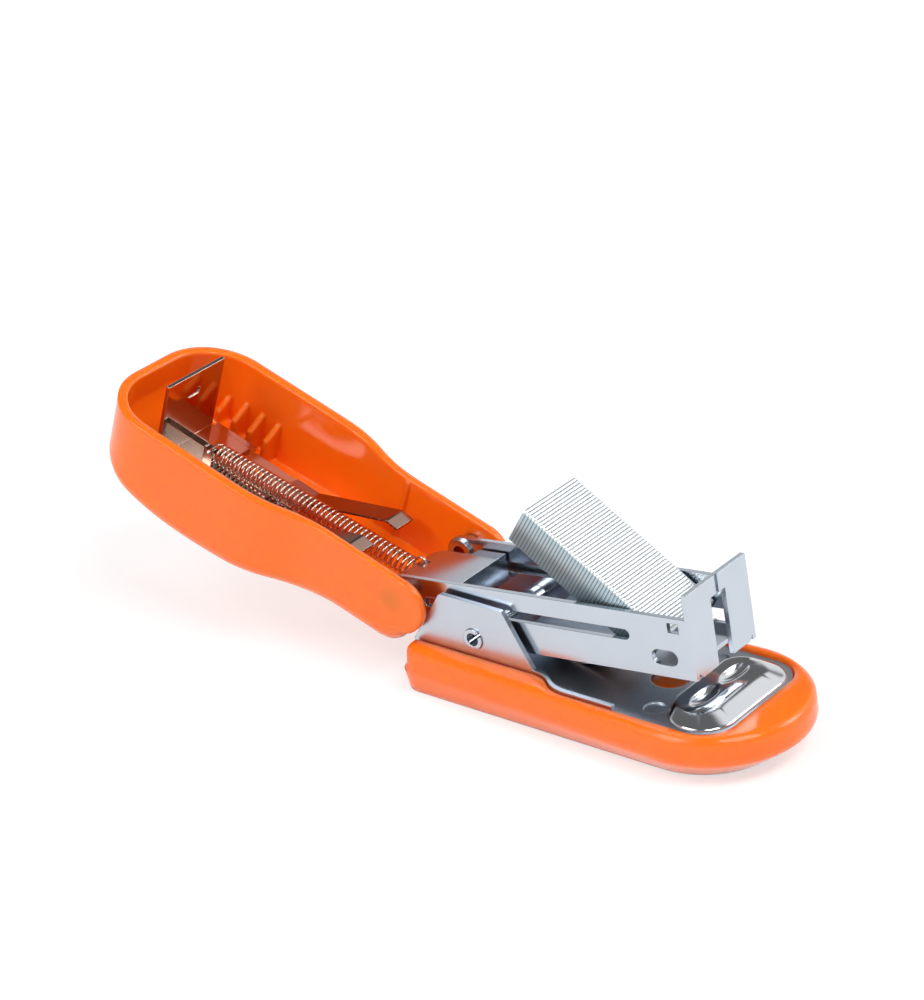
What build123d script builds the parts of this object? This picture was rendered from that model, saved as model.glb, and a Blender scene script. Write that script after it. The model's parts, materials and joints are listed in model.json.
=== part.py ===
"""Mini stapler opened for loading: base, magazine, handle and a staple strip, in millimetres.

X runs from the rear to the front, Y across, Z up; the origin is the middle of the base's underside.
"""
import os
from math import cos, radians, sin

from build123d import *

os.makedirs("parts", exist_ok=True)

# Staples the magazine is made for
staple_crown = 12.9
staple_leg = 6.0
staple_wire = 0.5
staple_pitch = 0.54
staple_count = 50

# Sheet steel and plastic
sheet = 0.8
thin_sheet = 0.6
leaf_sheet = 0.4
plastic_wall = 1.5
side_play = 0.32
ear_play = 0.6
pin_play = 0.05
seat_play = 0.3

# Base
base_length = 62.0
base_front_half = 14.5
base_rear_half = 11.8
foot_front_half = 11.2
foot_rear_half = 11.0
foot_front_inset = 4.5
belly_height = 3.8
belly_front_half = 14.9
belly_rear_half = 12.0
belly_round = 2.0
base_corner = 3.0
cover_top = 7.8
cover_roof = 2.6
rim_round = 1.2
edge_slack = 0.1
rear_step_height = 3.4
rib_width = 1.6
rib_spacing = 13.0

# Frame pressed from sheet: floor plate, two ears, low flanges
pivot_height = 10.5
pivot_from_rear = 12.5
plate_top = 7.5
ear_outer_half = 9.13
ear_top = 5.8
ear_top_rear = -5.9
ear_top_front = 5.3
ear_foot_rear = -10.7
ear_foot_front = 10.4
plate_step_front = 17.5
flange_front = 26.0
flange_rise = 0.7
wide_plate_half = 12.0
wide_plate_front = 43.0
wide_plate_corner = 5.0
lip_bottom = 3.9
lip_half = 8.4
peg_from_pivot = 28.0
peg_radius = 2.6
dimple_from_pivot = 30.8
dimple_side = 8.2
dimple_radius = 1.7
dimple_depth = 0.25

# Anvil
pocket_from_pivot = 36.2
anvil_rise = 1.43
anvil_length = 22.6
anvil_width = 10.2
anvil_middle = 37.6
plateau_length = 17.4
plateau_width = 6.4
pocket_length = 6.8
pocket_depth = 0.75
pocket_round = 1.5
pocket_middle = 3.8

# Lift leaf under the magazine
lift_foot_rear = 8.0
lift_foot_front = 13.5
lift_tip = 22.0
lift_half = 3.0

# Pivot pin, a rolled tube
pin_radius = 1.6
pin_bore = 1.0
pin_seam = 0.6
pin_seam_turn = 40.0

# Magazine, tilted nose up on the pivot
magazine_tilt = 6.65
channel_play = 0.32
wall_top = 7.54
wall_bottom = -1.65
front_x = 37.67
floor_start = 4.0
staple_exit = 2.0
nose_top = 11.36
nose_gap = 3.8
nose_slit = 0.7
nose_gap_top = 8.6
nose_corner = 1.6
lug_bottom = -2.6
lug_half = 5.0
slot_rear = -9.4
slot_front = 27.1
slot_height = 1.62
slot_middle = 3.93
window_x = 34.75
window_z = 6.05
window_length = 1.9
window_height = 1.5
oval_x = 32.7
oval_z = 1.3
oval_length = 4.4
oval_height = 2.3

# Handle hinge, in the magazine's tail
hinge_x = -13.3
hinge_z = 5.2
eyelet_bore = 1.1
eyelet_wall = 0.5
eyelet_flange = 2.1
eyelet_flange_thickness = 0.5

# Pusher
pusher_front = -4.5
pusher_length = 5.0
pusher_bottom = 1.95
pusher_top = 6.2
pusher_play = 0.4
pusher_tab_length = 4.0
pusher_tongue_half = 4.6
pusher_tongue_length = 6.3
pusher_tongue_corner = 2.0
pusher_hole = 0.6
pusher_hole_inset = 1.3

# Handle, folded back on its hinge; u runs along it from the hinge, v into it from the back
handle_slope = 18.9
handle_length = 57.2
handle_front_half = 13.9
handle_rear_half = 10.85
handle_rim = 3.9
handle_front_flat_half = 3.9
nose_margin = 1.0
nose_front_v = -5.2
nose_front_fall = 0.8
nose_u = 51.6
nose_v = -8.8
nose_middle_u = 56.2
nose_middle_v = -3.1
nose_fall = 0.5
crest_u = 38.1
crest_v = -11.2
waist_u = 11.1
waist_v = -8.6
heel_u = 1.1
heel_v = -8.4
side_straight_u = 12.6
side_wide_u = 29.0
back_round = 3.0
back_wall_end = -1.4
rib_thickness = 0.9
rib_first = 39.6
rib_step = 3.3
rib_count = 4
rib_inner = 9.5
rib_rise = -1.9
rib_low = -5.3
wall_rib_u = 13.0
wall_rib_rise = 3.4
lobe_u = -1.9
lobe_v = -0.3
lobe_skin = 0.45
post_radius = 2.0
post_peg_radius = 1.1
post_front_u = 36.0
post_front_side = 3.2
post_rear_u = 28.0
post_rear_side = 5.0
post_peg_rise = 0.5

# Handle plate, driver blade, leaf and coil spring
inner_plate_top = -6.0
inner_plate_half = 6.9
inner_plate_front_half = 8.2
inner_plate_rear = 26.0
inner_plate_corner = 2.0
blade_front_u = 49.0
blade_tip = 7.3
blade_half = 6.45
blade_foot_rear = 40.5
blade_notch_half = 2.2
blade_mark_length = 3.0
blade_mark_width = 1.4
blade_mark_depth = 0.2
leaf_half = 6.75
leaf_gap_half = 2.85
leaf_root_front = 31.0
leaf_root_rear = 26.5
leaf_bend_u = 11.6
leaf_bend_v = 0.2
leaf_foot_u = 9.4
leaf_foot_v = -0.1
leaf_bend_round = 1.0
rivet_radius = 0.9
rivet_height = 0.3
rivet_slope = 20.0
coil_radius = 1.75
coil_wire = 0.45
coil_front_u = 41.7
coil_front_v = -4.1
coil_rear_u = 3.6
coil_rear_v = -2.0
coil_arch = 0.85
hook_u = 43.4
hook_half = 0.9
hook_rise = 2.1
hook_hole = 0.5
hook_hole_v = -4.5

# Strip laid in, still tilted on its front lower edge
strip_front_x = 28.8
strip_tilt = 37.3

pivot_x = pivot_from_rear - base_length / 2
foot_front = base_length / 2 - foot_front_inset
belly_front = base_length / 2 + belly_front_half - base_front_half
plate_bottom = plate_top - sheet
floor_from_pivot = plate_top - pivot_height
magazine_inner_half = staple_crown / 2 + channel_play
magazine_half = magazine_inner_half + sheet
floor_top = wall_bottom + sheet
strip_length = staple_pitch * staple_count
tail_round = wall_top - hinge_z
eyelet_radius = eyelet_bore + eyelet_wall
eyelet_end = handle_rear_half - lobe_skin - seat_play / 2
inner_plate_bottom = inner_plate_top - sheet
handle_inner_rear_half = ear_outer_half + ear_play
handle_front_corner = handle_front_half - handle_front_flat_half
wall_rib_inner = ear_outer_half + side_play
coil_middle = coil_radius - coil_wire / 2
diagonal = radians(45)
lobe_radius = handle_rim - lobe_v
lobe_step = lobe_radius * cos(diagonal)
peg_places = [(post_front_u, post_front_side), (post_front_u, -post_front_side)]
post_places = peg_places + [(post_rear_u, post_rear_side), (post_rear_u, -post_rear_side)]
strip_angle = radians(magazine_tilt - strip_tilt)
strip_forward = (cos(strip_angle), 0, sin(strip_angle))
strip_floor = floor_top + seat_play / 2

tilt = radians(magazine_tilt)
fold = radians(handle_slope)
magazine_forward = (cos(tilt), 0, sin(tilt))
magazine_up = (-sin(tilt), 0, cos(tilt))
handle_along = (-cos(fold), 0, sin(fold))
handle_inward = (sin(fold), 0, cos(fold))
pivot = (pivot_x, 0, pivot_height)
hinge = (
    pivot_x + hinge_x * cos(tilt) - hinge_z * sin(tilt),
    0,
    pivot_height + hinge_x * sin(tilt) + hinge_z * cos(tilt),
)

strip_corner = (
    pivot_x + strip_front_x * cos(tilt) - strip_floor * sin(tilt),
    0,
    pivot_height + strip_front_x * sin(tilt) + strip_floor * cos(tilt),
)

base_side = Plane(origin=pivot, x_dir=(1, 0, 0), z_dir=(0, -1, 0))
base_plan = Plane(origin=(pivot_x, 0, 0), x_dir=(1, 0, 0), z_dir=(0, 0, 1))
magazine_side = Plane(origin=pivot, x_dir=magazine_forward, z_dir=(0, -1, 0))
magazine_plan = Plane(origin=pivot, x_dir=magazine_forward, z_dir=magazine_up)
magazine_front = Plane(origin=pivot, x_dir=(0, 1, 0), z_dir=magazine_forward)
handle_side = Plane(origin=hinge, x_dir=handle_along, z_dir=(0, 1, 0))
handle_plan = Plane(origin=hinge, x_dir=handle_along, z_dir=handle_inward)
handle_front = Plane(origin=hinge, x_dir=(0, 1, 0), z_dir=handle_along)
strip_section = Plane(origin=strip_corner, x_dir=(0, 1, 0), z_dir=strip_forward)


def tub_outline(rear_half, front_half, front_end, inset):
    """Plan of the base: a half round front and sides that close in towards the rear."""
    rear_x = -base_length / 2 + inset
    half = rear_half - inset
    radius = front_half - inset
    middle = front_end - front_half
    with BuildSketch() as plan:
        with BuildLine():
            Line((middle, -radius), (rear_x, -half))
            Line((rear_x, -half), (rear_x, half))
            Line((rear_x, half), (middle, radius))
            ThreePointArc((middle, radius), (middle + radius, 0), (middle, -radius))
        make_face()
        fillet(plan.vertices().group_by(Axis.X)[0], base_corner)
    return plan.sketch_local


def frame_outline(grow):
    """Plan of the frame's floor plate: narrow between the ears, with a soft step to the wide front."""
    narrow = ear_outer_half + grow
    wide = wide_plate_half + grow
    rear = ear_foot_rear - grow
    front = wide_plate_front + grow
    step_middle = (ear_foot_front + plate_step_front) / 2
    with BuildSketch() as plan:
        with BuildLine():
            Line((rear, -narrow), (rear, narrow))
            Line((front, -wide), (front, wide))
            for near in (1, -1):
                step = (step_middle, near * (narrow + wide) / 2)
                Line((rear, near * narrow), (ear_foot_front, near * narrow))
                TangentArc((ear_foot_front, near * narrow), step, tangent=(1, 0))
                TangentArc((plate_step_front, near * wide), step, tangent=(-1, 0))
                Line((plate_step_front, near * wide), (front, near * wide))
        make_face()
        fillet(plan.vertices().group_by(Axis.X)[-1], wide_plate_corner + grow)
    return plan.sketch_local


def handle_plan_outline(rear_half, inset, front_end, rear_end):
    """Plan of the handle: narrow beside the hinge, a soft step to the wide part and a rounded front."""
    half = handle_front_half - inset
    corner = handle_front_corner - inset
    corner_start = front_end - corner
    corner_middle = corner_start + corner * sin(diagonal)
    step_middle = (side_straight_u + side_wide_u) / 2
    with BuildSketch() as plan:
        with BuildLine():
            Line((rear_end, -rear_half), (rear_end, rear_half))
            Line((front_end, corner - half), (front_end, half - corner))
            for near in (1, -1):
                step = (step_middle, near * (rear_half + half) / 2)
                Line((rear_end, near * rear_half), (side_straight_u, near * rear_half))
                TangentArc((side_straight_u, near * rear_half), step, tangent=(1, 0))
                TangentArc((side_wide_u, near * half), step, tangent=(-1, 0))
                Line((side_wide_u, near * half), (corner_start, near * half))
                ThreePointArc(
                    (corner_start, near * half),
                    (corner_middle, near * (half - corner * (1 - cos(diagonal)))),
                    (front_end, near * (half - corner)),
                )
        make_face()
    return plan.sketch_local


# Base cover: a moulded tub, open underneath
with BuildPart() as base_cover:
    with BuildSketch(Plane.XY):
        add(tub_outline(foot_rear_half, foot_front_half, foot_front, 0))
    with BuildSketch(Plane.XY.offset(belly_height)):
        add(tub_outline(belly_rear_half, belly_front_half, belly_front, 0))
    with BuildSketch(Plane.XY.offset(cover_top)):
        add(tub_outline(base_rear_half, base_front_half, base_length / 2, 0))
    loft(ruled=True)
    belly_edges = base_cover.edges().filter_by_position(
        Axis.Z, belly_height - edge_slack, belly_height + edge_slack,
    )
    fillet(belly_edges, belly_round)
    fillet(base_cover.faces().sort_by(Axis.Z)[-1].edges(), rim_round)
    with BuildSketch(Plane.XY):
        add(tub_outline(foot_rear_half, foot_front_half, foot_front, plastic_wall))
    with BuildSketch(Plane.XY.offset(belly_height)):
        add(tub_outline(belly_rear_half, belly_front_half, belly_front, plastic_wall))
    with BuildSketch(Plane.XY.offset(cover_top - cover_roof)):
        add(tub_outline(base_rear_half, base_front_half, base_length / 2, plastic_wall))
    loft(ruled=True, mode=Mode.SUBTRACT)
    with BuildSketch(Plane.XY):
        for place in (-1, 0, 1):
            with Locations((place * rib_spacing, 0)):
                Rectangle(rib_width, 2 * foot_rear_half - plastic_wall)
    extrude(amount=cover_top - cover_roof)
    with BuildSketch(base_plan.offset(plate_bottom)):
        add(frame_outline(side_play))
    extrude(amount=cover_top, mode=Mode.SUBTRACT)
    with BuildSketch(base_side):
        with Locations((ear_foot_rear + seat_play, rear_step_height - pivot_height)):
            Rectangle(base_length, cover_top, align=(Align.MAX, Align.MIN))
    extrude(amount=base_front_half, both=True, mode=Mode.SUBTRACT)
    with BuildSketch(base_plan.offset(plate_bottom)):
        with Locations((peg_from_pivot, 0)):
            Circle(peg_radius)
    extrude(amount=sheet - seat_play / 2)
base_cover.part.label = "base_cover"
export_step(base_cover.part, "parts/base_cover.step")


# Base frame: floor plate, ears with the pivot holes, low flanges and a rear lip
with BuildPart() as base_frame:
    with BuildSketch(base_plan.offset(plate_bottom)):
        add(frame_outline(0))
    extrude(amount=sheet)
    for near in (1, -1):
        with BuildSketch(base_side.offset(near * ear_outer_half)):
            with BuildLine():
                Polyline(
                    (ear_foot_rear, plate_bottom - pivot_height),
                    (ear_foot_rear, floor_from_pivot + flange_rise),
                    (ear_top_rear, ear_top),
                    (ear_top_front, ear_top),
                    (ear_foot_front, floor_from_pivot + flange_rise),
                    (ear_foot_front, plate_bottom - pivot_height),
                    close=True,
                )
            ear_face = make_face()
            fillet(ear_face.vertices().group_by(Axis.Y)[-1], sheet)
            Circle(pin_radius + pin_play, mode=Mode.SUBTRACT)
        extrude(amount=-near * sheet)
    with BuildSketch(base_plan.offset(plate_bottom)):
        add(frame_outline(0))
        add(frame_outline(-sheet), mode=Mode.SUBTRACT)
        with Locations((ear_foot_front, 0)):
            Rectangle(
                flange_front - ear_foot_front, 4 * wide_plate_half,
                align=(Align.MIN, Align.CENTER), mode=Mode.INTERSECT,
            )
    extrude(amount=sheet + flange_rise)
    with BuildSketch(base_plan.offset(lip_bottom)):
        with Locations((ear_foot_rear, 0)):
            Rectangle(sheet, 2 * lip_half, align=(Align.MAX, Align.CENTER))
    extrude(amount=plate_top - lip_bottom)
    with BuildSketch(base_plan.offset(plate_bottom)):
        with Locations((peg_from_pivot, 0)):
            Circle(peg_radius + seat_play)
    extrude(amount=sheet, mode=Mode.SUBTRACT)
    with BuildSketch(base_plan.offset(plate_top)):
        with Locations((dimple_from_pivot, dimple_side), (dimple_from_pivot, -dimple_side)):
            Circle(dimple_radius)
    extrude(amount=-dimple_depth, mode=Mode.SUBTRACT)
base_frame.part.label = "base_frame"
export_step(base_frame.part, "parts/base_frame.step")


# Anvil: raised oval with sloped sides and two curved pockets that turn the staple legs in
pocket_radius = (pocket_length ** 2 / 4 + pocket_depth ** 2) / (2 * pocket_depth)
pocket_axis_height = plate_top + anvil_rise - pocket_depth + pocket_radius
with BuildPart() as anvil:
    with BuildSketch(base_plan.offset(plate_top)):
        with Locations((anvil_middle, 0)):
            SlotOverall(anvil_length, anvil_width, rotation=90)
    with BuildSketch(base_plan.offset(plate_top + anvil_rise)):
        with Locations((pocket_from_pivot, 0)):
            SlotOverall(plateau_length, plateau_width, rotation=90)
    loft(ruled=True)
    for near in (1, -1):
        pocket_centre = (pivot_x + pocket_from_pivot, near * pocket_middle, pocket_axis_height)
        with BuildSketch(Plane(origin=pocket_centre, x_dir=(1, 0, 0), z_dir=(0, -1, 0))):
            with Locations((0, pocket_round - pocket_radius)):
                Circle(pocket_round)
        revolve(axis=Axis(pocket_centre, (1, 0, 0)), mode=Mode.SUBTRACT)
anvil.part.label = "anvil"
export_step(anvil.part, "parts/anvil.step")


# Lift leaf: a bent strip on the floor plate that holds the magazine's nose up
with BuildPart() as lift_spring:
    with BuildSketch(base_side):
        with BuildLine():
            leaf_floor = floor_from_pivot
            tip_height = lift_tip * sin(tilt) + wall_bottom - seat_play - leaf_sheet
            Line((lift_foot_rear, leaf_floor), (lift_foot_front, leaf_floor))
            Spline(
                (lift_foot_front, leaf_floor), (lift_tip, tip_height),
                tangents=((1, 0), (1, sin(tilt))),
            )
            Line((lift_tip, tip_height), (lift_tip, tip_height + leaf_sheet))
            Spline(
                (lift_tip, tip_height + leaf_sheet), (lift_foot_front, leaf_floor + leaf_sheet),
                tangents=((-1, -sin(tilt)), (-1, 0)),
            )
            Line((lift_foot_front, leaf_floor + leaf_sheet), (lift_foot_rear, leaf_floor + leaf_sheet))
            Line((lift_foot_rear, leaf_floor + leaf_sheet), (lift_foot_rear, leaf_floor))
        make_face()
    extrude(amount=lift_half, both=True)
lift_spring.part.label = "lift_spring"
export_step(lift_spring.part, "parts/lift_spring.step")


# Pivot pin: a tube rolled from sheet with an open seam
with BuildPart() as pivot_pin:
    with BuildSketch(base_side):
        Circle(pin_radius)
        Circle(pin_bore, mode=Mode.SUBTRACT)
        Rectangle(
            2 * pin_radius, pin_seam, rotation=pin_seam_turn,
            align=(Align.MIN, Align.CENTER), mode=Mode.SUBTRACT,
        )
    extrude(amount=ear_outer_half + seat_play, both=True)
pivot_pin.part.label = "pivot_pin"
export_step(pivot_pin.part, "parts/pivot_pin.step")


# Magazine: a channel with guide slots, windows and two nose plates
with BuildPart() as magazine:
    for near in (1, -1):
        with BuildSketch(magazine_side.offset(near * magazine_half)):
            with BuildLine():
                Polyline(
                    (hinge_x, wall_top), (front_x, wall_top), (front_x, wall_bottom), (lug_half, wall_bottom),
                )
                ThreePointArc((lug_half, wall_bottom), (0, lug_bottom), (-lug_half, wall_bottom))
                Line((-lug_half, wall_bottom), (hinge_x, hinge_z - tail_round))
                ThreePointArc(
                    (hinge_x, hinge_z - tail_round), (hinge_x - tail_round, hinge_z), (hinge_x, wall_top),
                )
            make_face()
            Circle(pin_radius + pin_play, mode=Mode.SUBTRACT)
            with Locations((hinge_x, hinge_z)):
                Circle(eyelet_radius + pin_play, mode=Mode.SUBTRACT)
        extrude(amount=-near * sheet)
    with BuildSketch(magazine_plan.offset(wall_bottom)):
        with Locations((floor_start, 0)):
            Rectangle(
                front_x - sheet - staple_exit - floor_start, 2 * magazine_half,
                align=(Align.MIN, Align.CENTER),
            )
    extrude(amount=sheet)
    for near in (1, -1):
        with BuildSketch(magazine_front.offset(front_x - sheet)):
            with BuildLine():
                Polyline(
                    (near * magazine_half, wall_bottom + nose_corner),
                    (near * magazine_half, nose_top),
                    (near * nose_slit / 2, nose_top),
                    (near * nose_slit / 2, nose_gap_top),
                    (near * nose_gap / 2, nose_gap_top),
                    (near * nose_gap / 2, wall_bottom),
                    (near * (magazine_half - nose_corner), wall_bottom),
                    close=True,
                )
            make_face()
        extrude(amount=sheet)
    with BuildSketch(magazine_side):
        with Locations(((slot_rear + slot_front) / 2, slot_middle)):
            SlotOverall(slot_front - slot_rear, slot_height)
        with Locations((window_x, window_z)):
            Rectangle(window_length, window_height)
        with Locations((oval_x, oval_z)):
            SlotOverall(oval_length, oval_height)
    extrude(amount=magazine_half, both=True, mode=Mode.SUBTRACT)
magazine.part.label = "magazine"
export_step(magazine.part, "parts/magazine.step")


# Pusher: a folded sheet that runs in the magazine's slots, with a tongue that the coil spring hooks into
pusher_half = magazine_inner_half - pusher_play
pusher_rear = pusher_front - pusher_length
pusher_hole_x = pusher_rear - pusher_tongue_length + pusher_hole_inset
with BuildPart() as pusher:
    with BuildSketch(magazine_plan.offset(pusher_bottom)):
        with Locations((pusher_front, 0)):
            Rectangle(pusher_length, 2 * pusher_half, align=(Align.MAX, Align.CENTER))
        with Locations((pusher_front - thin_sheet, 0)):
            Rectangle(
                pusher_length, 2 * (pusher_half - thin_sheet),
                align=(Align.MAX, Align.CENTER), mode=Mode.SUBTRACT,
            )
    extrude(amount=pusher_top - pusher_bottom)
    with BuildSketch(magazine_plan.offset(pusher_top - thin_sheet)):
        with Locations((pusher_front, 0)):
            Rectangle(pusher_length, 2 * pusher_half, align=(Align.MAX, Align.CENTER))
        with Locations((pusher_rear, 0)):
            Rectangle(pusher_tongue_length, 2 * pusher_tongue_half, align=(Align.MAX, Align.CENTER))
        fillet(vertices().group_by(Axis.X)[0], pusher_tongue_corner)
        with Locations((pusher_hole_x, 0)):
            Circle(pusher_hole, mode=Mode.SUBTRACT)
    extrude(amount=thin_sheet)
    for near in (1, -1):
        with BuildSketch(magazine_side.offset(near * (pusher_half - thin_sheet))):
            with Locations((pusher_front - pusher_length / 2, slot_middle)):
                Rectangle(pusher_tab_length, slot_height - seat_play)
        extrude(amount=near * (thin_sheet + pusher_play + sheet / 2))
pusher.part.label = "pusher"
export_step(pusher.part, "parts/pusher.step")


# Hinge eyelets: two flanged tubes through the magazine's tail, on which the handle's lobes turn
with BuildPart() as hinge_eyelets:
    for near in (1, -1):
        with BuildSketch(magazine_side.offset(near * eyelet_end)):
            with Locations((hinge_x, hinge_z)):
                Circle(eyelet_radius)
        extrude(amount=-near * (eyelet_end - magazine_inner_half))
        with BuildSketch(magazine_side.offset(near * magazine_inner_half)):
            with Locations((hinge_x, hinge_z)):
                Circle(eyelet_flange)
        extrude(amount=-near * eyelet_flange_thickness)
    with BuildSketch(magazine_side):
        with Locations((hinge_x, hinge_z)):
            Circle(eyelet_bore)
    extrude(amount=eyelet_end, both=True, mode=Mode.SUBTRACT)
hinge_eyelets.part.label = "hinge_eyelets"
export_step(hinge_eyelets.part, "parts/hinge_eyelets.step")


# Hollow of the handle, taken out of the shell below
with BuildPart() as handle_hollow:
    with BuildSketch(handle_side):
        with BuildLine():
            Polyline(
                (back_wall_end, waist_v + plastic_wall),
                (back_wall_end, 2 * crest_v),
                (-2 * handle_rim, 2 * crest_v),
                (-2 * handle_rim, 2 * handle_rim),
                (handle_length - plastic_wall, 2 * handle_rim),
                (handle_length - plastic_wall, handle_rim),
            )
            ThreePointArc(
                (handle_length - plastic_wall, handle_rim),
                (nose_middle_u - plastic_wall, nose_middle_v),
                (nose_u - plastic_wall, nose_v + plastic_wall),
            )
            Spline(
                (nose_u - plastic_wall, nose_v + plastic_wall),
                (crest_u, crest_v + plastic_wall),
                (waist_u, waist_v + plastic_wall),
                (back_wall_end, waist_v + plastic_wall),
                tangents=((-1, -nose_fall), (-1, 0)),
            )
        make_face()
    extrude(amount=2 * handle_front_half, both=True)
    with BuildSketch(handle_plan.offset(2 * crest_v)):
        add(handle_plan_outline(
            handle_inner_rear_half, plastic_wall, handle_length - plastic_wall, -2 * handle_rim,
        ))
    extrude(amount=-4 * crest_v, mode=Mode.INTERSECT)
    with BuildSketch(handle_side):
        Circle(eyelet_radius + pin_play)
    extrude(amount=handle_rear_half - lobe_skin, both=True)
    for step in range(rib_count):
        with BuildSketch(handle_front.offset(rib_first + step * rib_step)):
            for near in (1, -1):
                with BuildLine():
                    Polyline(
                        (near * handle_front_half, -rib_rise), (near * rib_inner, -rib_low),
                        (near * rib_inner, -crest_v), (near * handle_front_half, -crest_v), close=True,
                    )
                make_face()
        extrude(amount=rib_thickness, mode=Mode.SUBTRACT)
    with BuildSketch(handle_front.offset(wall_rib_u)):
        for near in (1, -1):
            outward = Align.MIN if near > 0 else Align.MAX
            with Locations((near * wall_rib_inner, -wall_rib_rise)):
                Rectangle(handle_front_half, -crest_v, align=(outward, Align.MIN))
    extrude(amount=rib_thickness, mode=Mode.SUBTRACT)
    with BuildSketch(handle_plan.offset(inner_plate_bottom)):
        with Locations(*post_places):
            Circle(post_radius)
    extrude(amount=crest_v, mode=Mode.SUBTRACT)
    with BuildSketch(handle_plan.offset(inner_plate_bottom)):
        with Locations(*peg_places):
            Circle(post_peg_radius)
    extrude(amount=sheet + post_peg_rise, mode=Mode.SUBTRACT)


# Handle cover: a moulded shell with bored lobes at the hinge, ribs and posts for the plate
with BuildPart() as handle_cover:
    with BuildSketch(handle_side):
        with BuildLine():
            Polyline(
                (lobe_u, handle_rim), (handle_length + nose_margin, handle_rim),
                (handle_length + nose_margin, nose_front_v),
            )
            Spline(
                (handle_length + nose_margin, nose_front_v), (nose_u, nose_v),
                (crest_u, crest_v), (waist_u, waist_v), (heel_u, heel_v),
                tangents=((-1, -nose_front_fall), (-1, 0)),
            )
            TangentArc((heel_u, heel_v), (lobe_u - lobe_step, lobe_v - lobe_step), tangent=(-1, 0))
            ThreePointArc(
                (lobe_u - lobe_step, lobe_v - lobe_step), (lobe_u - lobe_step, lobe_v + lobe_step),
                (lobe_u, handle_rim),
            )
        make_face()
    extrude(amount=2 * handle_front_half, both=True)
    with BuildSketch(handle_plan.offset(2 * crest_v)):
        add(handle_plan_outline(handle_rear_half, 0, handle_length, -2 * handle_rim))
    extrude(amount=-4 * crest_v, mode=Mode.INTERSECT)
    back_edges = ShapeList(
        edge for edge in handle_cover.edges()
        if handle_plan.to_local_coords(edge.center()).Z < -lobe_step
        and abs(edge.center().Y) > handle_rear_half / 2
        and edge.geom_type != GeomType.LINE
    )
    fillet(back_edges, back_round)
    add(handle_hollow.part, mode=Mode.SUBTRACT)
handle_cover.part.label = "handle_cover"
export_step(handle_cover.part, "parts/handle_cover.step")


# Handle plate: sheet staked on the posts, with the hook that the coil spring pulls on
with BuildPart() as handle_plate:
    with BuildSketch(handle_plan.offset(inner_plate_bottom)):
        with Locations((inner_plate_rear, 0)):
            Rectangle(
                blade_front_u - thin_sheet - inner_plate_rear, 2 * inner_plate_half,
                align=(Align.MIN, Align.CENTER),
            )
        fillet(vertices().group_by(Axis.X)[0], inner_plate_corner)
        with Locations((blade_foot_rear, 0)):
            Rectangle(
                blade_front_u - thin_sheet - blade_foot_rear, 2 * inner_plate_front_half,
                align=(Align.MIN, Align.CENTER),
            )
        with Locations(*peg_places):
            Circle(post_peg_radius + seat_play, mode=Mode.SUBTRACT)
    extrude(amount=sheet)
    with BuildSketch(handle_side):
        with Locations((hook_u, inner_plate_bottom)):
            Rectangle(2 * hook_half, sheet + hook_rise, align=(Align.CENTER, Align.MIN))
        with Locations((hook_u, hook_hole_v)):
            Circle(hook_hole, mode=Mode.SUBTRACT)
            Rectangle(
                2 * hook_hole, hook_rise, align=(Align.CENTER, Align.MIN), mode=Mode.SUBTRACT,
            )
    extrude(amount=sheet / 2, both=True)
handle_plate.part.label = "handle_plate"
export_step(handle_plate.part, "parts/handle_plate.step")


# Driver blade: stands on the plate's front edge, with a notched foot on the plate
with BuildPart() as driver_blade:
    with BuildSketch(handle_front.offset(blade_front_u - thin_sheet)):
        with Locations((0, -blade_tip)):
            Rectangle(2 * blade_half, blade_tip - inner_plate_bottom, align=(Align.CENTER, Align.MIN))
    extrude(amount=thin_sheet)
    with BuildSketch(handle_plan.offset(inner_plate_top)):
        with Locations((blade_foot_rear, 0)):
            Rectangle(blade_front_u - blade_foot_rear, 2 * blade_half, align=(Align.MIN, Align.CENTER))
            Rectangle(
                blade_front_u - thin_sheet - blade_foot_rear, 2 * blade_notch_half,
                align=(Align.MIN, Align.CENTER), mode=Mode.SUBTRACT,
            )
    extrude(amount=thin_sheet)
    with BuildSketch(handle_front.offset(blade_front_u - thin_sheet)):
        with Locations((0, -blade_tip / 2)):
            SlotOverall(blade_mark_length, blade_mark_width)
    extrude(amount=blade_mark_depth, mode=Mode.SUBTRACT)
driver_blade.part.label = "driver_blade"
export_step(driver_blade.part, "parts/driver_blade.step")


# Handle leaf: a forked strip riveted to the plate, whose two prongs lift the closed handle
with BuildPart() as handle_leaf:
    with BuildSketch(handle_side):
        with BuildLine():
            Polyline(
                (leaf_root_front, inner_plate_top),
                (leaf_root_rear, inner_plate_top),
                (leaf_bend_u, leaf_bend_v),
                (leaf_foot_u, leaf_foot_v),
                (leaf_foot_u, leaf_foot_v + leaf_sheet),
                (leaf_bend_u, leaf_bend_v + leaf_sheet),
                (leaf_root_rear, inner_plate_top + leaf_sheet),
                (leaf_root_front, inner_plate_top + leaf_sheet),
                close=True,
            )
        leaf_face = make_face()
        bends = leaf_face.vertices().filter_by_position(
            Axis.X, leaf_bend_u - edge_slack, leaf_root_rear + edge_slack,
        )
        fillet(bends, leaf_bend_round)
    extrude(amount=leaf_half, both=True)
    with BuildSketch(handle_plan.offset(inner_plate_top)):
        with Locations((leaf_root_rear, 0)):
            Rectangle(leaf_root_rear, 2 * leaf_gap_half, align=(Align.MAX, Align.CENTER))
    extrude(amount=-2 * inner_plate_top, mode=Mode.SUBTRACT)
handle_leaf.part.label = "handle_leaf"
export_step(handle_leaf.part, "parts/handle_leaf.step")


# Rivet head that holds the leaf
with BuildPart() as leaf_rivet:
    with BuildSketch(handle_plan.offset(inner_plate_top + leaf_sheet)):
        with Locations(((leaf_root_front + leaf_root_rear) / 2, 0)):
            Circle(rivet_radius)
    extrude(amount=rivet_height, taper=rivet_slope)
leaf_rivet.part.label = "leaf_rivet"
export_step(leaf_rivet.part, "parts/leaf_rivet.step")


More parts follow.
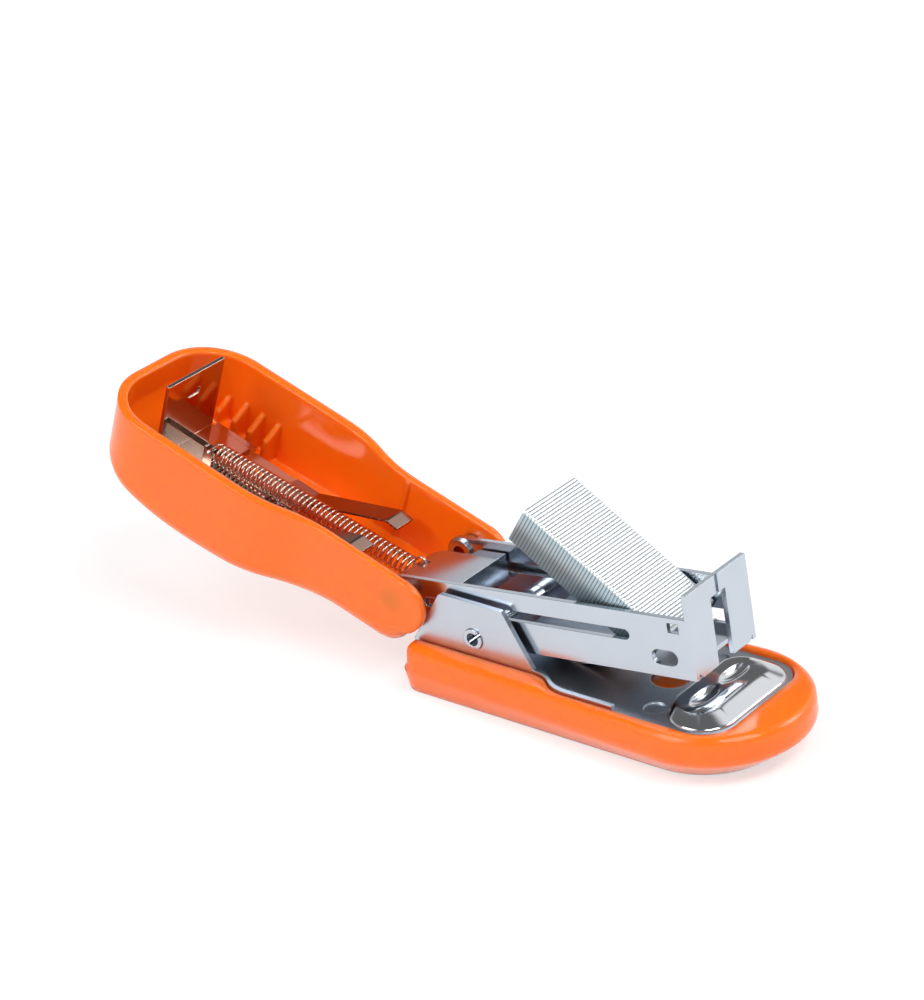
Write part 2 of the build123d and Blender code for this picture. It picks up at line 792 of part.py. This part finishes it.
# Coil spring, drawn as a close-wound sleeve with a wire at each end
coil_front = handle_side.from_local_coords((coil_front_u, coil_front_v, 0))
coil_rear = handle_side.from_local_coords((coil_rear_u, coil_rear_v, 0))
pusher_hook = handle_side.to_local_coords(
    magazine_side.from_local_coords((pusher_hole_x, pusher_top - thin_sheet / 2, 0))
)
with BuildPart() as pusher_spring:
    with BuildSketch(Plane(origin=coil_front, x_dir=(0, 1, 0), z_dir=coil_rear - coil_front)):
        Circle(coil_radius)
        Circle(coil_radius - coil_wire, mode=Mode.SUBTRACT)
    extrude(amount=(coil_rear - coil_front).length)
    with BuildLine(handle_side) as front_wire:
        ThreePointArc(
            (coil_front_u - coil_wire, coil_front_v + coil_middle),
            (hook_u - hook_hole, coil_front_v + coil_middle - hook_hole),
            (hook_u, hook_hole_v),
        )
    with BuildSketch(Plane(origin=front_wire.line @ 0, z_dir=front_wire.line % 0)):
        Circle(coil_wire / 2)
    sweep(path=front_wire.line)
    with BuildLine(handle_side) as rear_wire:
        ThreePointArc(
            (coil_rear_u + coil_wire, coil_rear_v + coil_middle),
            ((coil_rear_u + coil_wire + pusher_hook.X) / 2, pusher_hook.Y + coil_arch),
            (pusher_hook.X, pusher_hook.Y),
        )
    with BuildSketch(Plane(origin=rear_wire.line @ 0, z_dir=rear_wire.line % 0)):
        Circle(coil_wire / 2)
    sweep(path=rear_wire.line)
pusher_spring.part.label = "pusher_spring"
export_step(pusher_spring.part, "parts/pusher_spring.step")


# Staple strip: the wires lie side by side, drawn as one glued block
with BuildPart() as staple_strip:
    with BuildSketch(strip_section):
        Rectangle(staple_crown, staple_leg, align=(Align.CENTER, Align.MIN))
        Rectangle(
            staple_crown - 2 * staple_wire, staple_leg - staple_wire,
            align=(Align.CENTER, Align.MIN), mode=Mode.SUBTRACT,
        )
    extrude(amount=-strip_length)
staple_strip.part.label = "staple_strip"
export_step(staple_strip.part, "parts/staple_strip.step")
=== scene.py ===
import json
from collections import namedtuple
from math import cos, pi, radians, sin

import bmesh
import bpy
from mathutils import Matrix, Vector


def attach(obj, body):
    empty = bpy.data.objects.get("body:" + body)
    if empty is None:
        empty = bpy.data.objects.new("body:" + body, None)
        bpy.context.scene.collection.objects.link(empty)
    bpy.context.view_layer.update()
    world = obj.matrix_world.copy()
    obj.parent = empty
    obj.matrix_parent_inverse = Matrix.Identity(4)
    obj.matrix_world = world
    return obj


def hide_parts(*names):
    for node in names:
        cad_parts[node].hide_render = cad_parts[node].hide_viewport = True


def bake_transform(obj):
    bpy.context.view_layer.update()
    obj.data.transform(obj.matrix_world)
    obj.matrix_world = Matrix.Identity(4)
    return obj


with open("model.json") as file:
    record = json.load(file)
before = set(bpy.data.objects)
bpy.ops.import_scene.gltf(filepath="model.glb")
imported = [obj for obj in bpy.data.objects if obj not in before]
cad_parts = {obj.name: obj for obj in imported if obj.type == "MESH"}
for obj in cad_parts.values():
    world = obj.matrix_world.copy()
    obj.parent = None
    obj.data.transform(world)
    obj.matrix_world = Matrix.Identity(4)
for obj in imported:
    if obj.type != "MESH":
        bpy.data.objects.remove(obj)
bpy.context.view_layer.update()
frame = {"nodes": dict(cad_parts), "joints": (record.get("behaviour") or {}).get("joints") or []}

nodes = frame["nodes"]
joints = {joint["name"]: joint for joint in frame["joints"]}
MM = 0.001

# Frames of the model, from its joints and the handle's slope at rest
pivot = Vector(joints["magazine_press"]["pos_m"])
hinge = Vector(joints["handle_fold"]["pos_m"])
strip_corner = Vector(joints["strip_lay"]["pos_m"])
magazine_forward = Vector(joints["pusher_slide"]["axis"])
handle_slope = radians(18.9)
handle_along = Vector((-cos(handle_slope), 0, sin(handle_slope)))
handle_inward = Vector((sin(handle_slope), 0, cos(handle_slope)))
across = Vector((0, 1, 0))
strip_low = joints["strip_lay"]["range_deg"][0]
strip_forward = Matrix.Rotation(radians(-strip_low), 3, "Y") @ magazine_forward
strip_up = strip_forward.cross(across)

# Camera, at the photo's viewing angle
camera_azimuth = radians(38.51)
camera_elevation = radians(25.83)
camera_roll = radians(-4.0)
camera_lens = 120.5
camera_sensor = 36.0
camera_clip_start = 0.01
pivot_right_of_axis = 7.1 * MM
pivot_below_axis = 16.55 * MM
pivot_depth = 489.47 * MM

# Wound spring: u runs along the handle from the hinge, v into the handle
spring_turn_radius = 1.525 * MM
spring_wire_radius = 0.225 * MM
spring_wire_roundness = 2
spring_turns = 43
spring_points_per_turn = 14
spring_tightness = 0.93
spring_front_u = 41.7 * MM
spring_front_v = -4.1 * MM
spring_rear_u = 3.6 * MM
spring_rear_v = -2.0 * MM
spring_hook_u = 43.4 * MM
spring_hook_v = -4.5 * MM
spring_hook_steps = 5
spring_tail_u = 1.4 * MM
spring_tail_v = 0.1 * MM
spring_tail_rise = 0.9 * MM
spring_tail_steps = 6

# Staples: the wire's section has cut corners, and neighbours keep a hair's breadth apart
staple_crown = 12.9 * MM
staple_leg = 6.0 * MM
staple_pitch = 0.54 * MM
staple_count = 50
staple_half_wire = 0.25 * MM
staple_corner = 0.55 * MM
staple_corner_steps = 6
wire_half_pitch_share = 0.497
wire_flat_share = 0.86
# Painted shade on the staples: where across the strip the darker legs begin, and how near each groove between
# wires it darkens
leg_shade_starts = (staple_crown / 2 - 0.17 * MM, staple_crown / 2 - 0.03 * MM)
groove_shade_share = (0.16, 0.04)

# Worn edges: mouldings, sheet pieces and the pressed anvil
handle_edge_round = 0.9 * MM
base_edge_round = 1.8 * MM
sheet_edge_round = 0.12 * MM
anvil_edge_round = 0.45 * MM
no_edge_round = 0.0
edge_round_samples = 8
weld_gap = 0.002 * MM
sheet_corner_angle = radians(30)

# Colours, linear
white = (1.0, 1.0, 1.0)
orange = (0.96, 0.162, 0.005)
plated = (0.56, 0.61, 0.675)
polished = (0.66, 0.67, 0.69)
# Nickel plating tone, darkened and warmed as painted shade and painted orange reflection inside the handle
nickel_with_painted_orange_shade = (0.55, 0.44, 0.38)
# Spring steel tone, darkened and warmed as painted shade and painted orange reflection on the leaf
spring_with_painted_orange_shade = (0.34, 0.215, 0.17)
# Coil: steel grey warmed with a painted reflection of the orange handle around it
coil_with_painted_orange_reflection = (0.66, 0.46, 0.38)
wire_grey = (0.75, 0.79, 0.80)
# Painted shade for the staples: on the leg side and in the grooves between wires
leg_shade_grey = (0.45, 0.55, 0.59)
groove_shade_grey = (0.12, 0.16, 0.18)
floor_white = (0.93, 0.93, 0.935)
daylight = (0.97, 0.985, 1.0)

# Moulded plastic
plastic_flow_scale = 90
plastic_flow_stretch = (1, 2.5, 1)
plastic_flow_shade = 0.95
plastic_grain_scale = 5200
plastic_grain_depth = 0.01 * MM
plastic_relief = 0.10
plastic_roughness = (0.10, 0.16)
plastic_ior = 1.48
plastic_translucency = 0.6
plastic_light_reach = 3.2 * MM
plastic_light_reach_shares = (1.0, 0.10, 0.02)

# Metals: stretch draws the grain out, relief is its strength
metal_cloud_scale = 160
metal_cloud_shade = 0.93
metal_grain_scale = 2600
metal_grain_depth = 0.006 * MM
noise_low, noise_high = 0.3, 0.7
even_grain = (1, 1, 1)
sheet_grain = (1, 8, 8)
spring_grain = (1, 6, 6)
staple_grain = (8, 1, 1)
Finish = namedtuple("Finish", "colour roughness stretch relief edge_round")
finishes = {
    "plated_steel": Finish(plated, (0.15, 0.24), sheet_grain, 0.10, sheet_edge_round),
    "satin_plated_steel": Finish(plated, (0.26, 0.36), sheet_grain, 0.10, sheet_edge_round),
    "bright_plated_steel": Finish(nickel_with_painted_orange_shade, (0.05, 0.10), sheet_grain, 0.05, sheet_edge_round),
    "polished_steel": Finish(polished, (0.08, 0.14), even_grain, 0.05, anvil_edge_round),
    "spring_steel": Finish(spring_with_painted_orange_shade, (0.10, 0.18), spring_grain, 0.12, sheet_edge_round),
    "spring_wire": Finish(coil_with_painted_orange_reflection, (0.16, 0.28), spring_grain, 0.12, no_edge_round),
    "staple_wire": Finish(wire_grey, (0.38, 0.48), staple_grain, 0.12, no_edge_round),
}

# Nodes by material
metal_nodes = {
    "plated_steel": ("magazine", "pusher", "hinge_eyelets", "pivot_pin", "leaf_rivet"),
    "satin_plated_steel": ("base_frame",),
    "bright_plated_steel": ("handle_plate", "driver_blade"),
    "polished_steel": ("anvil",),
    "spring_steel": ("lift_spring", "handle_leaf"),
}
moulded_nodes = {
    "base_cover": ("orange_plastic_base", base_edge_round),
    "handle_cover": ("orange_plastic", handle_edge_round),
}

# Room: even light, a ceiling that shows dark in the metal, and a bright window on the far side
room_light = 0.40
ceiling_rise = (0.26, 0.47)
ceiling_level = 0.17
window_level = 1.1
window_left = (-0.14, -0.05)
window_right = (0.42, 0.30)
window_low = (0.40, 0.60)

# Floor: keeps a shadow near the part and glows white farther out
floor_reach = 3.0
floor_drop = 0.2 * MM
floor_roughness = 0.6
floor_glow = 1.06
floor_glow_distances = (0.10, 0.45)
floor_glow_shares = (0.60, 1.0)

# Lamps, all aimed at the part's middle
part_middle = Vector((-0.02, 0, 0.015))
Lamp = namedtuple("Lamp", "place size power")
lamps = {
    "key": Lamp((-0.25, -0.55, 0.65), (0.5, 0.5), 4.2),
    "overhead": Lamp((0.37, -0.10, 0.7), (0.42, 0.22), 3.6),
    "back": Lamp((0.45, 0.60, 0.60), (0.36, 0.36), 2.5),
}


def add_object(name, data):
    """New object in the scene."""
    obj = bpy.data.objects.new(name, data)
    bpy.context.scene.collection.objects.link(obj)
    return obj


def handle_point(u, v):
    """Place in the handle's middle plane."""
    return hinge + handle_along * u + handle_inward * v


def feed(tree, target, value):
    """Put a socket or a plain value into a node's input."""
    if isinstance(value, bpy.types.NodeSocket):
        tree.links.new(value, target)
    else:
        target.default_value = value


def calculate(tree, operation, *values):
    """Result of a math node."""
    node = tree.nodes.new("ShaderNodeMath")
    node.operation = operation
    for target, value in zip(node.inputs, values):
        feed(tree, target, value)
    return node.outputs["Value"]


def blend(tree, factor, first, second):
    """Value that goes from the first to the second with the factor."""
    node = tree.nodes.new("ShaderNodeMix")
    feed(tree, node.inputs["Factor"], factor)
    feed(tree, node.inputs["A"], first)
    feed(tree, node.inputs["B"], second)
    return node.outputs["Result"]


def blend_colour(tree, factor, first, second):
    """Colour that goes from the first, a socket or a colour, to the second with the factor."""
    node = tree.nodes.new("ShaderNodeMix")
    node.data_type = "RGBA"
    feed(tree, node.inputs["Factor"], factor)
    feed(tree, node.inputs["A"], (*first, 1) if isinstance(first, tuple) else first)
    feed(tree, node.inputs["B"], (*second, 1))
    return node.outputs["Result"]


def rise(tree, value, ends, levels=(0.0, 1.0)):
    """Soft passage from one level to the other while the value goes from end to end."""
    node = tree.nodes.new("ShaderNodeMapRange")
    node.interpolation_type = "SMOOTHSTEP"
    node.inputs["From Min"].default_value, node.inputs["From Max"].default_value = ends
    node.inputs["To Min"].default_value, node.inputs["To Max"].default_value = levels
    tree.links.new(value, node.inputs["Value"])
    return node.outputs["Result"]


def spread(tree, factor, levels):
    """Range where most noise lies, spread evenly between two levels."""
    node = tree.nodes.new("ShaderNodeMapRange")
    node.inputs["From Min"].default_value = noise_low
    node.inputs["From Max"].default_value = noise_high
    node.inputs["To Min"].default_value, node.inputs["To Max"].default_value = levels
    tree.links.new(factor, node.inputs["Value"])
    return node.outputs["Result"]


def noise(tree, place, scale, detail=4.0, stretch=even_grain):
    """Noise in object space, with its own stretch along each axis."""
    mapping = tree.nodes.new("ShaderNodeMapping")
    mapping.inputs["Scale"].default_value = stretch
    tree.links.new(place, mapping.inputs["Vector"])
    texture = tree.nodes.new("ShaderNodeTexNoise")
    texture.inputs["Scale"].default_value = scale
    texture.inputs["Detail"].default_value = detail
    tree.links.new(mapping.outputs["Vector"], texture.inputs["Vector"])
    return texture.outputs["Fac"]


def new_material(name):
    """Node material with a principled shader and object coordinates."""
    material = bpy.data.materials.new(name)
    material.use_nodes = True
    tree = material.node_tree
    place = tree.nodes.new("ShaderNodeTexCoord")
    return material, tree, tree.nodes["Principled BSDF"], place.outputs["Object"]


def bump(tree, shader, height, depth, strength, edge_round):
    """Fine relief from a height factor, over edges worn round."""
    node = tree.nodes.new("ShaderNodeBump")
    if edge_round > no_edge_round:
        worn = tree.nodes.new("ShaderNodeBevel")
        worn.samples = edge_round_samples
        worn.inputs["Radius"].default_value = edge_round
        tree.links.new(worn.outputs["Normal"], node.inputs["Normal"])
    node.inputs["Distance"].default_value = depth
    node.inputs["Strength"].default_value = strength
    tree.links.new(height, node.inputs["Height"])
    tree.links.new(node.outputs["Normal"], shader.inputs["Normal"])


def shade(colour, factor):
    """Colour times a factor."""
    return tuple(channel * factor for channel in colour)


def plastic_material(name, edge_round):
    """Glossy moulded plastic: faint flow marks, slightly uneven gloss and a very fine grain."""
    material, tree, shader, place = new_material(name)
    flow = noise(tree, place, plastic_flow_scale, stretch=plastic_flow_stretch)
    grain = noise(tree, place, plastic_grain_scale, detail=2.0)
    colour = blend_colour(tree, flow, shade(orange, plastic_flow_shade), orange)
    tree.links.new(colour, shader.inputs["Base Color"])
    tree.links.new(spread(tree, grain, plastic_roughness), shader.inputs["Roughness"])
    shader.inputs["IOR"].default_value = plastic_ior
    shader.inputs["Subsurface Weight"].default_value = plastic_translucency
    shader.inputs["Subsurface Radius"].default_value = plastic_light_reach_shares
    shader.inputs["Subsurface Scale"].default_value = plastic_light_reach
    bump(tree, shader, grain, plastic_grain_depth, plastic_relief, edge_round)
    return material


def metal_material(name, finish):
    """Plated or drawn metal: grain drawn out along the sheet, with cloudy gloss."""
    material, tree, shader, place = new_material(name)
    cloud = noise(tree, place, metal_cloud_scale)
    grain = noise(tree, place, metal_grain_scale, detail=3.0, stretch=finish.stretch)
    colour = blend_colour(tree, cloud, shade(finish.colour, metal_cloud_shade), finish.colour)
    shader.inputs["Metallic"].default_value = 1.0
    tree.links.new(colour, shader.inputs["Base Color"])
    tree.links.new(spread(tree, grain, finish.roughness), shader.inputs["Roughness"])
    bump(tree, shader, grain, metal_grain_depth, finish.relief, finish.edge_round)
    return material


def paint_leg_and_groove_shade(material):
    """Paint shade into the staple colour: legs darker than the crowns, and darker still in the grooves
    between the wires.
    """
    tree = material.node_tree
    shader = tree.nodes["Principled BSDF"]
    wire = shader.inputs["Base Color"].links[0].from_socket
    place = tree.nodes.new("ShaderNodeTexCoord").outputs["Object"]
    parts = tree.nodes.new("ShaderNodeSeparateXYZ")
    tree.links.new(place, parts.inputs["Vector"])
    leg = rise(tree, calculate(tree, "ABSOLUTE", parts.outputs["Y"]), leg_shade_starts)
    travel = tree.nodes.new("ShaderNodeVectorMath")
    travel.operation = "DOT_PRODUCT"
    travel.inputs[1].default_value = strip_forward
    tree.links.new(place, travel.inputs[0])
    first_wire = -strip_corner.dot(strip_forward) / staple_pitch
    wires = calculate(tree, "MULTIPLY_ADD", travel.outputs["Value"], 1 / staple_pitch, first_wire)
    groove = rise(tree, calculate(tree, "PINGPONG", wires, 0.5), groove_shade_share)
    shaded_legs = blend_colour(tree, leg, wire, leg_shade_grey)
    shaded_grooves = blend_colour(tree, calculate(tree, "MULTIPLY", leg, groove), shaded_legs, groove_shade_grey)
    tree.links.new(shaded_grooves, shader.inputs["Base Color"])


def put_material(obj, material):
    """One material on the whole object, shaded smooth."""
    obj.data.materials.clear()
    obj.data.materials.append(material)
    for face in obj.data.polygons:
        face.use_smooth = True


def crisp_edges(obj):
    """Flat faces and true corners on a metal piece."""
    weld = obj.modifiers.new("weld", "WELD")
    weld.merge_threshold = weld_gap
    split = obj.modifiers.new("corners", "EDGE_SPLIT")
    split.split_angle = sheet_corner_angle
    split.use_edge_sharp = False


def round_wire(name, points, radius, roundness):
    """Round wire through the points, as a mesh with closed ends."""
    curve = bpy.data.curves.new(name, "CURVE")
    curve.dimensions = "3D"
    curve.bevel_depth = radius
    curve.bevel_resolution = roundness
    curve.use_fill_caps = True
    spline = curve.splines.new("POLY")
    spline.points.add(len(points) - 1)
    for target, point in zip(spline.points, points):
        target.co = (*point, 1)
    carrier = add_object(name + "_curve", curve)
    bpy.context.view_layer.update()
    evaluated = carrier.evaluated_get(bpy.context.evaluated_depsgraph_get())
    mesh = bpy.data.meshes.new_from_object(evaluated)
    bpy.data.objects.remove(carrier)
    bpy.data.curves.remove(curve)
    return add_object(name, mesh)


def spring_points():
    """Centre line of the wound spring, with a hook at the front and a tail at the rear."""
    front = handle_point(spring_front_u, spring_front_v)
    rear = handle_point(spring_rear_u, spring_rear_v)
    along = (rear - front).normalized()
    up = across.cross(along).normalized()
    if up.dot(handle_inward) < 0:
        up = -up
    length = (rear - front).length
    first_turn_v = spring_front_v + spring_turn_radius
    last_turn_v = spring_rear_v + spring_turn_radius
    points = []
    for step in range(spring_hook_steps):
        share = step / spring_hook_steps
        points.append(handle_point(
            spring_hook_u + (spring_front_u - spring_hook_u) * share,
            spring_hook_v + (first_turn_v - spring_hook_v) * sin(share * pi / 2),
        ))
    coil_steps = spring_turns * spring_points_per_turn
    for step in range(coil_steps + 1):
        share = step / coil_steps
        turn = share * spring_turns * 2 * pi
        travel = length * (spring_tightness * share + (1 - spring_tightness) * share ** 2)
        spoke = up * cos(turn) + across * sin(turn)
        points.append(front + along * travel + spoke * spring_turn_radius)
    for step in range(1, spring_tail_steps + 1):
        share = step / spring_tail_steps
        points.append(handle_point(
            spring_rear_u + (spring_tail_u - spring_rear_u) * share,
            last_turn_v + (spring_tail_v - last_turn_v) * share + spring_tail_rise * sin(share * pi),
        ))
    return points


def staple_path():
    """Centre line of one staple, across and up, from the foot of one leg to the other."""
    leg_side = staple_crown / 2 - staple_half_wire
    top = staple_leg - staple_half_wire
    bend_side, bend_height = leg_side - staple_corner, top - staple_corner
    half = [(bend_side, top)]
    for step in range(1, staple_corner_steps):
        turn = step / staple_corner_steps * pi / 2
        half.append((bend_side + staple_corner * sin(turn), bend_height + staple_corner * cos(turn)))
    half += [(leg_side, bend_height), (leg_side, 0)]
    return [(-side, height) for side, height in reversed(half)] + half


def staple_rings(build, path, middle):
    """Sections of one staple's wire along its path: an oblong with cut corners."""
    flat = wire_flat_share
    section = [(-1, -flat), (-flat, -1), (flat, -1), (1, -flat), (1, flat), (flat, 1), (-flat, 1), (-1, flat)]
    half_width = staple_pitch * wire_half_pitch_share
    rings = []
    for index, (side, height) in enumerate(path):
        before = Vector(path[max(index - 1, 0)])
        after = Vector(path[min(index + 1, len(path) - 1)])
        run = (after - before).normalized()
        ring = []
        for forward, outward in section:
            place = strip_corner + strip_forward * (middle + forward * half_width)
            place = place + across * (side - run.y * outward * staple_half_wire)
            place = place + strip_up * (height + run.x * outward * staple_half_wire)
            ring.append(build.verts.new(place))
        rings.append(ring)
    return rings


def staple_wires():
    """Bent wires, side by side."""
    path = staple_path()
    build = bmesh.new()
    for number in range(staple_count):
        rings = staple_rings(build, path, -(number + 0.5) * staple_pitch)
        for first, second in zip(rings, rings[1:]):
            for corner in range(len(first)):
                following = (corner + 1) % len(first)
                build.faces.new((first[corner], first[following], second[following], second[corner]))
        build.faces.new(rings[0])
        build.faces.new(list(reversed(rings[-1])))
    bmesh.ops.recalc_face_normals(build, faces=build.faces)
    mesh = bpy.data.meshes.new("staples")
    build.to_mesh(mesh)
    build.free()
    return add_object("staples", mesh)


def make_lamp(name, lamp):
    """Soft box that faces the part."""
    data = bpy.data.lights.new(name, "AREA")
    data.shape = "RECTANGLE"
    data.size, data.size_y = lamp.size
    data.energy = lamp.power
    obj = add_object(name, data)
    obj.location = lamp.place
    obj.rotation_euler = (part_middle - Vector(lamp.place)).to_track_quat("-Z", "Y").to_euler()


def make_floor():
    """Pale table, seen as white, that keeps a soft shadow."""
    mesh = bpy.data.meshes.new("floor")
    corners = [(x * floor_reach, y * floor_reach, 0) for x, y in ((-1, -1), (1, -1), (1, 1), (-1, 1))]
    mesh.from_pydata(corners, [], [(0, 1, 2, 3)])
    floor = add_object("floor", mesh)
    floor.location.z = -floor_drop
    material, tree, shader, place = new_material("pale_floor")
    shader.inputs["Base Color"].default_value = (*floor_white, 1)
    shader.inputs["Roughness"].default_value = floor_roughness
    glow = tree.nodes.new("ShaderNodeEmission")
    glow.inputs["Color"].default_value = (*white, 1)
    glow.inputs["Strength"].default_value = floor_glow
    ray = tree.nodes.new("ShaderNodeLightPath").outputs
    seen = calculate(tree, "MAXIMUM", ray["Is Camera Ray"], ray["Is Glossy Ray"])
    seen = calculate(tree, "MAXIMUM", seen, ray["Is Transmission Ray"])
    distance = tree.nodes.new("ShaderNodeVectorMath")
    distance.operation = "LENGTH"
    tree.links.new(place, distance.inputs[0])
    glow_share = rise(tree, distance.outputs["Value"], floor_glow_distances, floor_glow_shares)
    surface = tree.nodes.new("ShaderNodeMixShader")
    tree.links.new(calculate(tree, "MULTIPLY", seen, glow_share), surface.inputs["Fac"])
    tree.links.new(shader.outputs["BSDF"], surface.inputs[1])
    tree.links.new(glow.outputs["Emission"], surface.inputs[2])
    tree.links.new(surface.outputs["Shader"], tree.nodes["Material Output"].inputs["Surface"])
    mesh.materials.append(material)


def make_world():
    """Room that is white to the camera, even as light, and dim overhead with a window in reflections."""
    world = bpy.data.worlds.new("studio")
    bpy.context.scene.world = world
    world.use_nodes = True
    tree = world.node_tree
    background = tree.nodes["Background"]
    place = tree.nodes.new("ShaderNodeTexCoord")
    way = tree.nodes.new("ShaderNodeSeparateXYZ")
    tree.links.new(place.outputs["Generated"], way.inputs["Vector"])
    ceiling = rise(tree, way.outputs["Z"], ceiling_rise, (1.0, ceiling_level))
    pane = rise(tree, way.outputs["Y"], window_low)
    for ends in (window_left, window_right):
        pane = calculate(tree, "MULTIPLY", pane, rise(tree, way.outputs["X"], ends))
    ray = tree.nodes.new("ShaderNodeLightPath").outputs
    mirrored = blend(tree, pane, ceiling, window_level)
    strength = blend(tree, ray["Is Glossy Ray"], room_light, mirrored)
    strength = blend(tree, ray["Is Camera Ray"], strength, 1.0)
    tree.links.new(strength, background.inputs["Strength"])
    colour = blend_colour(tree, ray["Is Camera Ray"], daylight, white)
    tree.links.new(colour, background.inputs["Color"])


def make_camera():
    """Camera placed from where the pivot lies in the photo."""
    back = Vector((
        sin(camera_azimuth) * cos(camera_elevation),
        -cos(camera_azimuth) * cos(camera_elevation),
        sin(camera_elevation),
    ))
    level_right = Vector((cos(camera_azimuth), sin(camera_azimuth), 0))
    level_up = back.cross(level_right)
    right = level_right * cos(camera_roll) + level_up * sin(camera_roll)
    up = level_up * cos(camera_roll) - level_right * sin(camera_roll)
    place = pivot - right * pivot_right_of_axis + up * pivot_below_axis + back * pivot_depth
    data = bpy.data.cameras.new("camera")
    data.lens = camera_lens
    data.sensor_width = camera_sensor
    data.clip_start = camera_clip_start
    camera = add_object("camera", data)
    camera.matrix_world = Matrix.Translation(place) @ Matrix((right, up, back)).transposed().to_4x4()
    bpy.context.scene.camera = camera


metals = {name: metal_material(name, finish) for name, finish in finishes.items()}
# Painted shade on the staple legs and in the grooves between wires
paint_leg_and_groove_shade(metals["staple_wire"])
for node, (name, edge_round) in moulded_nodes.items():
    put_material(nodes[node], plastic_material(name, edge_round))
for name, members in metal_nodes.items():
    for node in members:
        put_material(nodes[node], metals[name])
        crisp_edges(nodes[node])

coil = round_wire("wound_spring", spring_points(), spring_wire_radius, spring_wire_roundness)
put_material(coil, metals["spring_wire"])
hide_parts("pusher_spring")
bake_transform(coil)

staples = staple_wires()
put_material(staples, metals["staple_wire"])
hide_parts("staple_strip")
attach(staples, "strip")

for name, lamp in lamps.items():
    make_lamp(name, lamp)
make_floor()
make_world()
make_camera()
bpy.context.scene.view_settings.view_transform = "Standard"
